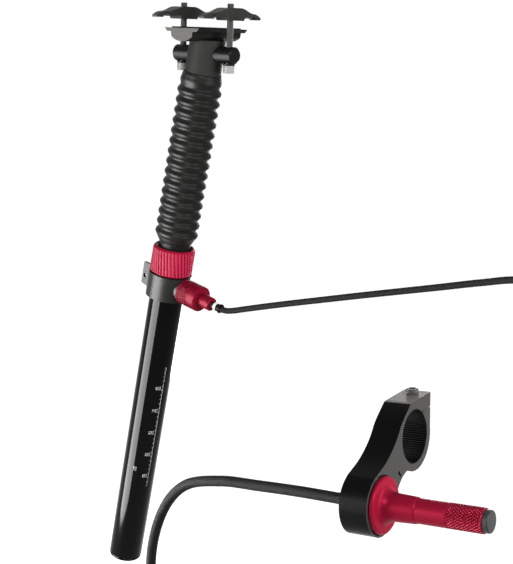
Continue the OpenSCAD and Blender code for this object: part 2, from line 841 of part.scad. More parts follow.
// Joystick: a ball-backed flange with a dished face, filleted down to a stepped rod
module joystick_lever() {
    rim_t = 1;
    bulge = 0.7;
    face_r = 0.76 * flange_r;
    root_r = rod_r + 0.7;
    shank_r = rod_r + 0.3;
    fillet_x = 6.5;
    step_x = 15.5;
    steps = 10;
    front = rim_x + rim_t;
    color(red)
    at_remote()
    difference() {
        union() {
            intersection() {
                translate([pivot_x, 0, 0]) sphere(r = ball_r);
                rotate([0, 90, 0])
                    rotate_extrude()
                        polygon(concat([[0, fillet_x], [0, -remote_t], [flange_r, -remote_t],
                                        [flange_r, front], [0.95 * flange_r, front + bulge]],
                            [for (i = [0 : steps])
                                [face_r - (face_r - root_r) * sin(90 * i / steps),
                                 fillet_x - (fillet_x - front - bulge) * cos(90 * i / steps)]]));
            }
            rotate([0, 90, 0])
                rotate_extrude()
                    polygon([[0, fillet_x - over], [root_r, fillet_x - over], [root_r, fillet_x],
                             [shank_r, step_x], [rod_r, step_x + 0.4], [rod_r, lever_l], [0, lever_l]]);
        }
        rod_x(anchor_r + press, -remote_t, pivot_x - ball_r + anchor_l + loose);
        rod_x(plug_r - 1 + press, lever_l - plug_spigot_l - loose, lever_l + over);
    }
}

// Plug in the joystick's end
module lever_plug() {
    chamfer = 0.6;
    color(rubber_black)
    at_remote() {
        rotate([0, 90, 0])
            rotate_extrude()
                polygon([[0, lever_l - plug_spigot_l], [plug_r - 1, lever_l - plug_spigot_l],
                         [plug_r - 1, lever_l], [plug_r, lever_l], [plug_r, lever_l + plug_l - chamfer],
                         [plug_r - chamfer, lever_l + plug_l], [0, lever_l + plug_l]]);
    }
}

// Barrel that anchors the inner wire in the joystick
module cable_anchor() {
    color(silver)
    at_remote() rod_x(anchor_r, pivot_x - ball_r + 1, pivot_x - ball_r + anchor_l);
}

outer_tube();
base_cap();
upper_bushing();
topout_bumper();
wiper_seal();
gaiter_collar();
clamp_band();
actuator_body();
actuator_nose();
cable_ferrule();
lock_pin();
pin_spring();
inner_wire();
stanchion();
lower_guide();
spring_perch();
main_spring();
gaiter();
head_neck();
clamp_bar();
saddle_cradle();
front_yoke();
rear_yoke();
front_bolt();
rear_bolt();
front_washer();
rear_washer();
cable();
remote_body();
remote_screw();
seat_liner();
joystick_lever();
lever_plug();
cable_anchor();
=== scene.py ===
import json
import math

import bmesh
import bpy
import numpy as np
from mathutils import Matrix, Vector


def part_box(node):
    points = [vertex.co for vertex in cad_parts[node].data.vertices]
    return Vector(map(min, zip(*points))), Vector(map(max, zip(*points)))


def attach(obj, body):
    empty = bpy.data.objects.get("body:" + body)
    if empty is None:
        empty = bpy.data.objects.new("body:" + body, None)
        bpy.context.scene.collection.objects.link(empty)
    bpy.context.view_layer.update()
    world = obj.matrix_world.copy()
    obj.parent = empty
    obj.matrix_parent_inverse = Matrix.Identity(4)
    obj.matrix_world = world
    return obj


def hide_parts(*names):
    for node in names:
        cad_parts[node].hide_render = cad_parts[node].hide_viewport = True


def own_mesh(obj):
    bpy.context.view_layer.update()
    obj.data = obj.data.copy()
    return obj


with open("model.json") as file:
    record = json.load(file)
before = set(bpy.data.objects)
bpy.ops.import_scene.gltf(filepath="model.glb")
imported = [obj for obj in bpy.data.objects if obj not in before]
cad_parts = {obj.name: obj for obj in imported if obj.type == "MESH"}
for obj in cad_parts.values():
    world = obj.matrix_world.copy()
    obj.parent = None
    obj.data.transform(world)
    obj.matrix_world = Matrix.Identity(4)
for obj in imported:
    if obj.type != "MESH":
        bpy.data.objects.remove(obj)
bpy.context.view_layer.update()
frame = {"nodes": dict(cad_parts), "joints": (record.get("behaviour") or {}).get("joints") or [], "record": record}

# Camera
# The photograph looks at the post from its front right and from above, with the camera rolled,
# so that the post leans to the right in the picture. The axes were fitted to the post's edges.
scene = bpy.context.scene
photo_height_px = 564
focal_px = 1200
sensor_mm = 36
camera_at = (0.5996, -0.6660, 0.5655)
camera_right = (0.7421, 0.6474, 0.1737)
camera_up = (-0.3394, 0.1394, 0.9303)
camera_back = np.cross(camera_right, camera_up)
camera_data = bpy.data.cameras.new("camera")
camera_data.sensor_fit = "VERTICAL"
camera_data.sensor_height = sensor_mm
camera_data.lens = sensor_mm * focal_px / photo_height_px
camera = bpy.data.objects.new("camera", camera_data)
camera_axes = Matrix([camera_right, camera_up, list(camera_back)]).transposed()
camera.matrix_world = Matrix.Translation(camera_at) @ camera_axes.to_4x4()
scene.collection.objects.link(camera)
scene.camera = camera


# Outer tube
# A drawn aluminium tube, anodised gloss black, that slides into the frame's seat tube. Its top
# is turned down a little where the clamp band and the collar sit.
def surface(name, points, crest=None):
    """Mesh of a grid of points, rows by columns, with one quad in each cell. The last column joins
    the first, and points that meet at a pole or a seam are merged. crest, one value for each
    point, is kept as an attribute for the material."""
    rows, columns = points.shape[:2]
    index = np.arange(rows * columns).reshape(rows, columns)
    after = np.roll(index, -1, axis=1)
    quads = np.stack([index[:-1], after[:-1], after[1:], index[1:]], axis=-1).reshape(-1, 4)
    mesh = bpy.data.meshes.new(name)
    mesh.from_pydata(points.reshape(-1, 3).tolist(), [], quads.tolist())
    if crest is not None:
        layer = mesh.attributes.new("crest", "FLOAT", "POINT")
        layer.data.foreach_set("value", np.ascontiguousarray(crest, np.float32).ravel())
    return finished(mesh)


def merged(mesh, gap):
    """Edit mesh of a mesh, with the points merged that lie within the gap of each other."""
    work = bmesh.new()
    work.from_mesh(mesh)
    bmesh.ops.remove_doubles(work, verts=work.verts, dist=gap)
    return work


sharp_angle = math.radians(38)


def smooth_piece(mesh):
    """Object of a mesh, with its name, whose edges are smooth up to the sharp angle."""
    mesh.polygons.foreach_set("use_smooth", np.ones(len(mesh.polygons), bool))
    mesh.set_sharp_from_angle(angle=sharp_angle)
    piece = bpy.data.objects.new(mesh.name, mesh)
    scene.collection.objects.link(piece)
    return piece


def finished(mesh):
    """Object of a mesh whose doubles are merged and whose faces are turned to point outwards."""
    seam_gap = 1e-7
    work = merged(mesh, seam_gap)
    bmesh.ops.recalc_face_normals(work, faces=work.faces)
    work.to_mesh(mesh)
    work.free()
    return smooth_piece(mesh)


def softened(corners, radius, steps=4):
    """Outline through the corners (radius, height), each inner corner replaced by a round of
    about that radius: a quadratic curve between two points on its edges."""
    most_of_edge = 0.45
    corners = np.asarray(corners, float)
    share = np.linspace(0, 1, steps + 1)[:, None]
    outline = [corners[:1]]
    for before, corner, after in zip(corners[:-2], corners[1:-1], corners[2:]):
        reach_in = min(radius, most_of_edge * np.linalg.norm(before - corner))
        reach_out = min(radius, most_of_edge * np.linalg.norm(after - corner))
        start = corner + reach_in * (before - corner) / np.linalg.norm(before - corner)
        end = corner + reach_out * (after - corner) / np.linalg.norm(after - corner)
        outline.append((1 - share) ** 2 * start + 2 * share * (1 - share) * corner + share ** 2 * end)
    outline.append(corners[-1:])
    return np.concatenate(outline)


def placed(axes, origin):
    """Place, a 4 by 4 matrix, with these local X, Y and Z axes and this origin."""
    place = np.eye(4)
    place[:3, :3] = np.transpose(axes)
    place[:3, 3] = origin
    return place


def round_angles(columns):
    """Angles of columns that stand evenly round an axis."""
    return np.linspace(0, 2 * np.pi, columns, endpoint=False)


def turned(outline, place, columns, cut=0.0):
    """Points of an outline (radius, height) carried round the local Z axis of a place. cut, one
    value or one for each point, is taken off the radius."""
    angle = round_angles(columns)
    radius = outline[:, :1] - cut
    height = np.broadcast_to(outline[:, 1:], (len(outline), columns))
    local = np.stack([radius * np.cos(angle), radius * np.sin(angle), height], axis=-1)
    return local @ place[:3, :3].T + place[:3, 3]


def ridden(piece, body, node, material):
    """Makes a piece stand for a CAD node on its body, with a material, and hides the node."""
    piece.data.materials.clear()
    piece.data.materials.append(material)
    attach(piece, body)
    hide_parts(node)


def fed(tree, socket, given):
    """Sets a socket to a plain value, or links it where an output of another node is given."""
    if isinstance(given, bpy.types.NodeSocket):
        tree.links.new(given, socket)
    else:
        socket.default_value = given


def worked_out(tree, operation, *terms):
    """Output of a Math node with these terms, plain values or outputs of other nodes."""
    node = tree.nodes.new("ShaderNodeMath")
    node.operation = operation
    for socket, term in zip(node.inputs, terms):
        fed(tree, socket, term)
    return node.outputs[0]


def mixed(tree, share, first, second):
    """Output of a Mix node: the first colour where the share is 0 and the second where it is 1."""
    node = tree.nodes.new("ShaderNodeMix")
    node.data_type = "RGBA"
    for label, given in (("Factor", share), ("A", first), ("B", second)):
        fed(tree, node.inputs[label], given)
    return node.outputs["Result"]


def new_group(name, inputs, outputs):
    """Node group with these sockets, a kind for each label, and its input and output nodes."""
    group = bpy.data.node_groups.new(name, "ShaderNodeTree")
    for way, sockets in (("INPUT", inputs), ("OUTPUT", outputs)):
        for label, kind in sockets.items():
            group.interface.new_socket(label, in_out=way, socket_type="NodeSocket" + kind)
    return group, group.nodes.new("NodeGroupInput"), group.nodes.new("NodeGroupOutput")


def grain_group():
    """Node group for the fine unevenness of a finish. Two noises, one fine and one broad, shift
    a colour towards a second one, spread the roughness and give a height for a bump."""
    broad_scale = 60
    fine_detail, broad_detail = 3, 2
    group, given, made = new_group(
        "finish_grain", {"Color": "Color", "Second Color": "Color", "Amount": "Float", "Scale": "Float",
                         "Roughness": "Float", "Spread": "Float"},
        {"Color": "Color", "Roughness": "Float", "Height": "Float"})
    nodes, links = group.nodes, group.links
    place = nodes.new("ShaderNodeTexCoord")
    fine = nodes.new("ShaderNodeTexNoise")
    broad = nodes.new("ShaderNodeTexNoise")
    fine.inputs["Detail"].default_value = fine_detail
    broad.inputs["Scale"].default_value = broad_scale
    broad.inputs["Detail"].default_value = broad_detail
    for noise in (fine, broad):
        links.new(place.outputs["Object"], noise.inputs["Vector"])
    links.new(given.outputs["Scale"], fine.inputs["Scale"])
    both = worked_out(group, "MULTIPLY", fine.outputs["Fac"], broad.outputs["Fac"])
    share = worked_out(group, "MULTIPLY", both, given.outputs["Amount"])
    colour = mixed(group, share, given.outputs["Color"], given.outputs["Second Color"])
    rough = worked_out(group, "MULTIPLY_ADD", broad.outputs["Fac"], given.outputs["Spread"],
                       given.outputs["Roughness"])
    links.new(colour, made.inputs["Color"])
    links.new(rough, made.inputs["Roughness"])
    links.new(fine.outputs["Fac"], made.inputs["Height"])
    return group


grain = grain_group()


def finish(name, colour, second, roughness, spread=0.08, amount=0.6, scale=900.0, bump=0.0001,
           **sockets):
    """Material with the grain group's colour, roughness and bump. sockets are plain values of
    the shader's own inputs, with underscores for the blanks in their names."""
    bump_strength = 0.5
    material = bpy.data.materials.new(name)
    material.use_nodes = True
    nodes, links = material.node_tree.nodes, material.node_tree.links
    shader = nodes["Principled BSDF"]
    uneven = nodes.new("ShaderNodeGroup")
    uneven.node_tree = grain
    for label, value in (("Color", (*colour, 1)), ("Second Color", (*second, 1)), ("Amount", amount),
                         ("Scale", scale), ("Roughness", roughness), ("Spread", spread)):
        uneven.inputs[label].default_value = value
    raised = nodes.new("ShaderNodeBump")
    raised.inputs["Distance"].default_value = bump
    raised.inputs["Strength"].default_value = bump_strength
    links.new(uneven.outputs["Color"], shader.inputs["Base Color"])
    links.new(uneven.outputs["Roughness"], shader.inputs["Roughness"])
    links.new(uneven.outputs["Height"], raised.inputs["Height"])
    links.new(raised.outputs["Normal"], shader.inputs["Normal"])
    for label, value in sockets.items():
        shader.inputs[label.replace("_", " ")].default_value = value
    return material


MM = 0.001
mounts = {mount["name"]: mount for mount in frame["record"]["mounts"]}
upright = np.eye(4)
tube_r, _, tube_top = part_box("outer_tube")[1]
seat_step = 0.3 * MM
tube_wall = 1.6 * MM
seat_r = tube_r - seat_step
bore_r = tube_r - tube_wall
band_foot = mounts["seat_tube"]["dims"]["length_mm"] * MM
tube_edge = 0.3 * MM
tube_black = finish("tube_gloss_black", (0.001, 0.001, 0.0011), (0.003, 0.003, 0.0032), 0.06,
                    spread=0.05, scale=400, bump=0.000005, Specular_IOR_Level=0.05)
tube_outline = softened([(bore_r, 0), (tube_r, 0), (tube_r, band_foot), (seat_r, band_foot),
                         (seat_r, tube_top), (bore_r, tube_top), (bore_r, 0)], tube_edge)
outer_tube = surface("outer_tube_drawn", turned(tube_outline, upright, columns=128))
ridden(outer_tube, "outer_post", "outer_tube", tube_black)

# Base cap
# A turned cap that closes the tube's lower end, with its edge rounded over.
cap_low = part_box("base_cap")[0][2]
cap_round = 2.4 * MM
cap_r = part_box("base_cap")[1][0]
cap_outline = softened([(0, cap_low), (cap_r, cap_low), (cap_r, 0), (0, 0)], cap_round, steps=10)
base_cap = surface("base_cap_turned", turned(cap_outline, upright, columns=128))
ridden(base_cap, "outer_post", "base_cap", tube_black)

# Printed scale
# Marks printed in white on the tube's front: a line with ticks and plain numbers, the millimetres
# above the tube's foot, and three short ticks beside it for the least depth in the frame.
ink_t = 0.03 * MM
ink_gap = 0.01 * MM
scale_turn = math.radians(-8)
line_w = 0.3 * MM
line_foot, line_head = 70 * MM, 178 * MM
mark_w, mark_step = 1.4 * MM, 4 * MM
depth_foot, depth_head = 84 * MM, 88 * MM
depth_from, depth_step = -14 * MM, 1 * MM
strokes = [(-line_w, 0, line_foot, line_head)]
for mark in np.arange(line_foot, line_head + line_w, mark_step):
    strokes.append((-mark_w, 0, mark, mark + line_w))
for tick in range(3):
    left = depth_from + tick * depth_step
    strokes.append((left, left + line_w, depth_foot, depth_head))
digit_w, digit_h, digit_step = 1.3 * MM, 2.4 * MM, 2 * MM
digits_from = -3.6 * MM
bars = {"top": (0, 1, 1, 1), "middle": (0, 1, 0.5, 0.5), "foot": (0, 1, 0, 0),
        "upper_left": (0, 0, 0.5, 1), "upper_right": (1, 1, 0.5, 1),
        "lower_left": (0, 0, 0, 0.5), "lower_right": (1, 1, 0, 0.5)}
unlit = {"0": ("middle",), "1": ("top", "middle", "foot", "upper_left", "lower_left"), "8": (),
         "2": ("upper_left", "lower_right"), "4": ("top", "foot", "lower_left"), "6": ("upper_right",)}
for number in range(80, 180, 20):
    base = number * MM - digit_h / 2
    for place, digit in enumerate(reversed(str(number))):
        start = digits_from - place * digit_step
        for bar in [bar for name, bar in bars.items() if name not in unlit[digit]]:
            left, right, low, high = np.array(bar) * (digit_w, digit_w, digit_h, digit_h)
            strokes.append((start + left, start + right + line_w, base + low, base + high + line_w))
strokes = np.array(strokes)
stroke_arc = strokes[:, :1] + (strokes[:, 1:2] - strokes[:, :1]) * np.linspace(0, 1, 4)
stroke_angle = scale_turn + np.stack([stroke_arc, stroke_arc], axis=1) / tube_r
stroke_z = np.broadcast_to(strokes[:, 2:, None], stroke_angle.shape)
stroke_r = tube_r + ink_gap + ink_t
ink_points = np.stack([stroke_r * np.cos(stroke_angle), stroke_r * np.sin(stroke_angle), stroke_z], axis=-1)
corner = np.arange(stroke_angle.size).reshape(stroke_angle.shape)
ink_quads = np.stack([corner[:, 0, :-1], corner[:, 0, 1:], corner[:, 1, 1:], corner[:, 1, :-1]], axis=-1)
ink_mesh = bpy.data.meshes.new("printed_scale")
ink_mesh.from_pydata(ink_points.reshape(-1, 3).tolist(), [], ink_quads.reshape(-1, 4).tolist())
printed_scale = finished(ink_mesh)
ink_layer = printed_scale.modifiers.new("ink", "SOLIDIFY")
ink_layer.thickness = ink_t
ink_mesh.materials.append(finish("scale_white", (0.4, 0.4, 0.39), (0.3, 0.3, 0.29), 0.4, bump=0.00001))
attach(printed_scale, "outer_post")


# Clamp band
# A machined aluminium band, satin black, with the boss that carries the actuator in front and
# a flat drilled lug behind. Its edges are broken, as on a part from a milling machine.
def dressed(node, edge, pale=(), trim=None, cuts=()):
    """Copy of a CAD node with its loose triangles merged, its flat regions made one face each
    and its sharp edges rounded by a bevel of width edge. pale holds directions with a distance
    and a value: faces that look that way, that far out along it, get that crest and the others
    0. trim takes the points and gives them back, moved where the look departs from the solid,
    after the mesh has been cut by planes, cuts, each a point and a normal."""
    flat_angle = math.radians(0.4)
    square_enough = 0.95
    weld_gap = 2e-6
    on_plane = 1e-7
    mesh = frame["nodes"][node].data.copy()
    mesh.name = node + "_machined"
    if trim is not None:
        work = merged(mesh, weld_gap)
        for point, normal in cuts:
            bmesh.ops.bisect_plane(work, geom=[*work.verts, *work.edges, *work.faces], dist=on_plane,
                                   plane_co=point, plane_no=normal)
        work.to_mesh(mesh)
        work.free()
        points = np.empty(3 * len(mesh.vertices))
        mesh.vertices.foreach_get("co", points)
        mesh.vertices.foreach_set("co", trim(points.reshape(-1, 3)).ravel())
    work = merged(mesh, weld_gap)
    bmesh.ops.dissolve_limit(work, angle_limit=flat_angle, verts=work.verts, edges=work.edges)
    work.to_mesh(mesh)
    work.free()
    if "custom_normal" in mesh.attributes:
        mesh.attributes.remove(mesh.attributes["custom_normal"])
    normals, centres = np.empty(3 * len(mesh.polygons)), np.empty(3 * len(mesh.polygons))
    mesh.polygons.foreach_get("normal", normals)
    mesh.polygons.foreach_get("center", centres)
    crest = np.zeros(len(mesh.polygons), np.float32)
    for direction, distance, value in pale:
        facing = normals.reshape(-1, 3) @ direction > square_enough
        crest[facing & (centres.reshape(-1, 3) @ direction > distance)] = value
    mesh.attributes.new("crest", "FLOAT", "FACE").data.foreach_set("value", crest)
    piece = smooth_piece(mesh)
    bevel = piece.modifiers.new("broken_edges", "BEVEL")
    bevel.width = edge
    bevel.segments = 2
    bevel.limit_method = "ANGLE"
    bevel.angle_limit = sharp_angle
    bevel.harden_normals = True
    return piece


band_black = finish("band_satin_black", (0.012, 0.012, 0.0113), (0.022, 0.022, 0.0207), 0.3, scale=1500,
                    bump=0.00002, Specular_IOR_Level=0.065)
clamp_band = dressed("clamp_band", edge=0.35 * MM)
ridden(clamp_band, "outer_post", "clamp_band", band_black)


# Lock-pin actuator
# A red anodised barrel on the band's boss: a diamond-knurled grip, a smooth end band and a
# slimmer nose, turned from bar. The knurl is rolled in as two crossing sets of grooves.
def knurl(angle, along, starts, pitch):
    """Depth, from 0 to 1, of a diamond knurl: the deeper of two sets of V grooves, which wind
    round the axis in opposite directions."""
    groove = 0.3
    turn = starts * angle / (2 * np.pi)
    right = np.abs((turn + along / pitch) % 1 - 0.5) / groove
    left = np.abs((turn - along / pitch) % 1 - 0.5) / groove
    return np.clip(1 - np.minimum(right, left), 0, 1)


def plateau(along, start, end, ramp):
    """1 between start and end, and 0 outside, with smooth ramps of the given length."""
    rise = np.clip((along - start) / ramp, 0, 1) * np.clip((end - along) / ramp, 0, 1)
    return rise * rise * (3 - 2 * rise)


def resampled(outline, step):
    """Outline with extra points, so that no two neighbours lie further apart than step."""
    parts = [np.linspace(a, b, max(2, int(np.ceil(np.linalg.norm(b - a) / step)) + 1))[:-1]
             for a, b in zip(outline[:-1], outline[1:])]
    return np.concatenate(parts + [outline[-1:]])


def crest_group():
    """Node group for a colour that follows a mask, the crest: deep at 0, the plain face at a half
    and pale at 1. On several pieces deep is painted shade and pale is painted light."""
    face_at, pale_from = 0.5, 0.6
    group, given, made = new_group(
        "crest_colour", {"Crest": "Float", "Deep": "Color", "Face": "Color", "Pale": "Color"},
        {"Color": "Color"})
    below = group.nodes.new("ShaderNodeMapRange")
    above = group.nodes.new("ShaderNodeMapRange")
    below.inputs["From Max"].default_value = face_at
    above.inputs["From Min"].default_value = pale_from
    for ramp in (below, above):
        group.links.new(given.outputs["Crest"], ramp.inputs["Value"])
    shaded = mixed(group, below.outputs["Result"], given.outputs["Deep"], given.outputs["Face"])
    lit = mixed(group, above.outputs["Result"], shaded, given.outputs["Pale"])
    group.links.new(lit, made.inputs["Color"])
    return group


crest_colour = crest_group()


def crested(name, deep, face, pale, roughness, **sockets):
    """Material whose colour follows the piece's crest attribute. face is a pair of colours for
    the grain. deep and pale give some pieces their own two tones and others painted shade and
    painted highlights. The rest goes to finish."""
    material = finish(name, *face, roughness, **sockets)
    nodes, links = material.node_tree.nodes, material.node_tree.links
    shader = nodes["Principled BSDF"]
    ridge = nodes.new("ShaderNodeAttribute")
    ridge.attribute_name = "crest"
    colour = nodes.new("ShaderNodeGroup")
    colour.node_tree = crest_colour
    colour.inputs["Deep"].default_value = (*deep, 1)
    colour.inputs["Pale"].default_value = (*pale, 1)
    links.new(ridge.outputs["Fac"], colour.inputs["Crest"])
    links.new(shader.inputs["Base Color"].links[0].from_socket, colour.inputs["Face"])
    links.new(colour.outputs["Color"], shader.inputs["Base Color"])
    return material


def knurled(name, outline, place, starts, pitch, each, span, ramp, least_r):
    """Piece turned from an outline, with each columns for every start of its knurl. The knurl
    covers a span of its length where the radius is above least_r, and fades over ramp at the ends.
    The crest is a painted highlight a little above the plain face on the ridges, and painted shade deep in the
    grooves."""
    groove_depth = 0.28 * MM
    ridge_highlight, groove_shade = 0.15, 0.6
    along = outline[:, 1:]
    grip = plateau(along, *span, ramp) * (outline[:, :1] > least_r)
    depth = grip * knurl(round_angles(each * starts), along, starts, pitch)
    points = turned(outline, place, each * starts, groove_depth * depth)
    # painted highlight on the knurl's ridges and painted shade in its grooves
    return surface(name, points, crest=0.5 + grip * (ridge_highlight - groove_shade * depth))


red_face = ((0.2, 0.004, 0.019), (0.27, 0.007, 0.029))
red_finish = dict(scale=2500, bump=0.00002, Specular_IOR_Level=0.02)
actuator_red = crested("actuator_red", (0.03, 0.0004, 0.002), ((0.15, 0.003, 0.014), (0.2, 0.005, 0.022)),
                       (0.3, 0.02, 0.05), 0.34, Metallic=0.04, **red_finish)
body_low, body_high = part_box("actuator_body")
nose_end, nose_r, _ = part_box("actuator_nose")[1]
pin_z = (body_low[2] + body_high[2]) / 2
pin_axes = [(0, 0, -1), (0, 1, 0), (1, 0, 0)]
actuator_place = placed(pin_axes, (0, 0, pin_z))
body_r = body_high[1]
grip_length = 10.3 * MM
grip_end = body_low[0] + grip_length
relief_depth, relief_width, relief_ramp = 0.5 * MM, 0.7 * MM, 0.2 * MM
relief_end = grip_end + relief_width
body_round = 0.8 * MM
body_step = 0.14 * MM
grip_start = body_low[0] + 0.2 * MM
body_corners = [(0, body_low[0]), (body_r, body_low[0]), (body_r, grip_end - relief_ramp),
                (body_r - relief_depth, grip_end), (body_r - relief_depth, relief_end),
                (body_r, relief_end + relief_ramp), (body_r, body_high[0]), (0, body_high[0])]
body_outline = resampled(softened(body_corners, body_round), body_step)
actuator_body = knurled("actuator_grip", body_outline, actuator_place, starts=32, pitch=2.0 * MM, each=12,
                        span=(grip_start, grip_end - relief_ramp), ramp=0.5 * MM, least_r=0.98 * body_r)
ridden(actuator_body, "outer_post", "actuator_body", actuator_red)

nose_start = body_high[0]
nose_round = 1.0 * MM
nose_outline = softened([(0, nose_start), (nose_r, nose_start), (nose_r, nose_end), (0, nose_end)],
                        nose_round)
nose_points = turned(nose_outline, actuator_place, columns=96)
actuator_nose = surface("actuator_nose_turned", nose_points, crest=np.full(nose_points.shape[:2], 0.5))
ridden(actuator_nose, "outer_post", "actuator_nose", actuator_red)

# Cable ferrule
# A turned ferrule that sits in the nose: a blackened ring, a bright ring, and four blackened claws
# that flare outwards and grip the housing.
ferrule_steel = crested("ferrule_steel", (0.004, 0.004, 0.004), ((0.1, 0.1, 0.1), (0.14, 0.14, 0.14)),
                        (0.75, 0.75, 0.74), 0.3, scale=1200, bump=0.00002, Specular_IOR_Level=0.03)
ferrule_end, ferrule_r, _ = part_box("cable_ferrule")[1]
ferrule_x = nose_end
waist_r = ferrule_r - 0.5 * MM
neck_r = ferrule_r - 0.9 * MM
bright_from, claws_from = ferrule_x + 3.0 * MM, ferrule_x + 5.6 * MM
flare_from, flare_to = claws_from + 1.0 * MM, ferrule_end - 0.9 * MM
step = 0.1 * MM
ferrule_corners = [(0, ferrule_x), (neck_r, ferrule_x), (neck_r, bright_from - step),
                   (waist_r, bright_from + step), (waist_r, claws_from - step), (neck_r, claws_from + step),
                   (neck_r, flare_from), (ferrule_r, flare_to), (ferrule_r, ferrule_end), (0, ferrule_end)]
ferrule_round, ferrule_step = 0.25 * MM, 0.3 * MM
ferrule_outline = resampled(softened(ferrule_corners, ferrule_round), ferrule_step)
claws = 4
claw_depth = 0.3 * MM
ferrule_columns = 72
ferrule_angle = round_angles(ferrule_columns)
slot_from, slot_ramp = 0.55, 0.25
slot_foot = claws_from + 0.5 * MM
claw_slot = np.clip((np.cos(claws * ferrule_angle) - slot_from) / slot_ramp, 0, 1)
claw_rows = ferrule_outline[:, 1:] > slot_foot
claw_cut = np.clip(ferrule_outline[:, :1] - neck_r + claw_depth, 0, None) * claw_rows * claw_slot
ferrule_bright = (ferrule_outline[:, 1:] > bright_from) & (ferrule_outline[:, 1:] < claws_from)
ferrule_points = turned(ferrule_outline, actuator_place, ferrule_columns, claw_cut)
cable_ferrule = surface("ferrule_turned", ferrule_points, crest=ferrule_bright * np.ones(ferrule_columns))
ridden(cable_ferrule, "outer_post", "cable_ferrule", ferrule_steel)

# Gaiter collar
# A red anodised ring that screws over the tube's end and traps the gaiter's bead. Coarse
# flutes, cut slightly aslant, give the fingers a grip. Its colour carries painted highlights on the
# flute ridges and painted shade in the flutes, in the gap at its foot and in its mouth.
# deep is the painted shade colour and pale the painted highlight colour
collar_red = crested("collar_red", (0.05, 0.0005, 0.004), ((0.24, 0.005, 0.024), (0.32, 0.009, 0.037)),
                     (0.44, 0.03, 0.076), 0.36, Metallic=0.01, **red_finish)
collar_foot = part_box("gaiter_collar")[0][2]
collar_r, _, collar_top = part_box("gaiter_collar")[1]
collar_mouth = 12.6 * MM
mouth_bevel = 1.6 * MM
top_bevel = 1.6 * MM
bead_depth = 4 * MM
flutes = 38
flute_depth = 0.55 * MM
flute_lean = 60
flute_end, flute_runout = collar_top - 0.6 * MM, 1.2 * MM
skin_from, skin_ramp = 0.9 * collar_r, 0.08 * collar_r
ridge_power = 0.8
ridge_painted_highlight, flute_painted_shade = 0.85, 0.4
collar_gap, gap_slope = 1.2 * MM, 0.2 * MM
collar_round, collar_step = 0.5 * MM, 0.5 * MM
collar_corners = [(seat_r, collar_foot), (collar_r - collar_gap, collar_foot),
                  (collar_r - collar_gap, collar_foot + collar_gap),
                  (collar_r, collar_foot + collar_gap + gap_slope), (collar_r, collar_top - top_bevel),
                  (collar_r - top_bevel, collar_top), (collar_mouth + mouth_bevel, collar_top),
                  (collar_mouth, collar_top - mouth_bevel), (collar_mouth, collar_top - bead_depth),
                  (seat_r, collar_top - bead_depth), (seat_r, collar_foot)]
collar_outline = resampled(softened(collar_corners, collar_round), collar_step)
collar_columns = 16 * flutes
collar_angle = round_angles(collar_columns)
fluted = plateau(collar_outline[:, 1:], collar_foot + collar_gap, flute_end, flute_runout)
fluted = fluted * np.clip((collar_outline[:, :1] - skin_from) / skin_ramp, 0, 1)
flute_phase = flutes * collar_angle / (2 * np.pi) + flute_lean * (collar_outline[:, 1:] - collar_foot)
flute_ridge = np.abs(np.cos(np.pi * flute_phase)) ** ridge_power
collar_points = turned(collar_outline, upright, collar_columns, flute_depth * fluted * (1 - flute_ridge))
# painted highlight on the flute ridges and painted shade in the flutes
collar_painted_shading = 0.5 + fluted * (ridge_painted_highlight * flute_ridge - flute_painted_shade)
# painted shade in the gap at the collar's foot
collar_painted_shading[collar_outline[:, 1] < collar_foot + collar_gap] = 0
# painted shade in the collar's mouth and on its bevel
collar_painted_shading[collar_outline[:, 0] < collar_mouth + mouth_bevel] = 0
gaiter_collar = surface("collar_fluted", collar_points, crest=collar_painted_shading)
ridden(gaiter_collar, "outer_post", "gaiter_collar", collar_red)

# Gaiter
# A moulded rubber sleeve of round ribs, the highest one lower than the rest. Its neck goes down
# into the collar and its cuff grips the head's neck. On the post it folds up as the saddle drops;
# here it has one fixed shape.
joints = {joint["name"]: joint for joint in frame["joints"]}
gaiter_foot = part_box("gaiter")[0][2]
rib_crest, _, gaiter_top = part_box("gaiter")[1]
ribs = 16
rib_pitch = 7.97 * MM
rib_first = collar_top + 11.6 * MM
rib_valley = rib_crest - 1.9 * MM
sleeve_wall = 1.0 * MM
sleeve_neck = 12.3 * MM
cuff_r = 14.6 * MM
cuff_edge, cuff_slope = 0.6 * MM, 0.2 * MM
foot_round = 3 * MM
top_rib_share = 0.4
rib_power = 0.9
rib_rows = 14
rib_share = np.arange(ribs * rib_rows + 1) / rib_rows
rib_swell = ((1 - np.cos(2 * np.pi * rib_share)) / 2) ** rib_power
rib_swell[-rib_rows:] *= top_rib_share
rib_lines = np.stack([rib_valley + (rib_crest - rib_valley) * rib_swell,
                      rib_first + (rib_share - 0.5) * rib_pitch], axis=1)
foot_lines = softened([(sleeve_neck, gaiter_foot), (sleeve_neck, collar_top + foot_round), rib_lines[0]],
                      foot_round)[:-1]
cuff_lines = softened([rib_lines[-1], (cuff_r, gaiter_top - cuff_edge), (cuff_r - cuff_slope, gaiter_top),
                       (cuff_r - sleeve_wall, gaiter_top)], cuff_edge)[1:]
sleeve_outer = np.concatenate([foot_lines, rib_lines, cuff_lines])
sleeve_inner = np.concatenate([foot_lines, rib_lines])[::-1] - (sleeve_wall, 0)
sleeve_outline = np.concatenate([sleeve_outer, sleeve_inner, sleeve_outer[:1]])
gaiter_rubber = finish("gaiter_rubber", (0.006, 0.006, 0.0056), (0.014, 0.014, 0.013), 0.28, spread=0.16,
                       scale=700, bump=0.00003, amount=0.8, Specular_IOR_Level=0.05)
gaiter = surface("gaiter_ribbed", turned(sleeve_outline, upright, columns=112))
ridden(gaiter, "outer_post", "gaiter", gaiter_rubber)
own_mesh(gaiter)

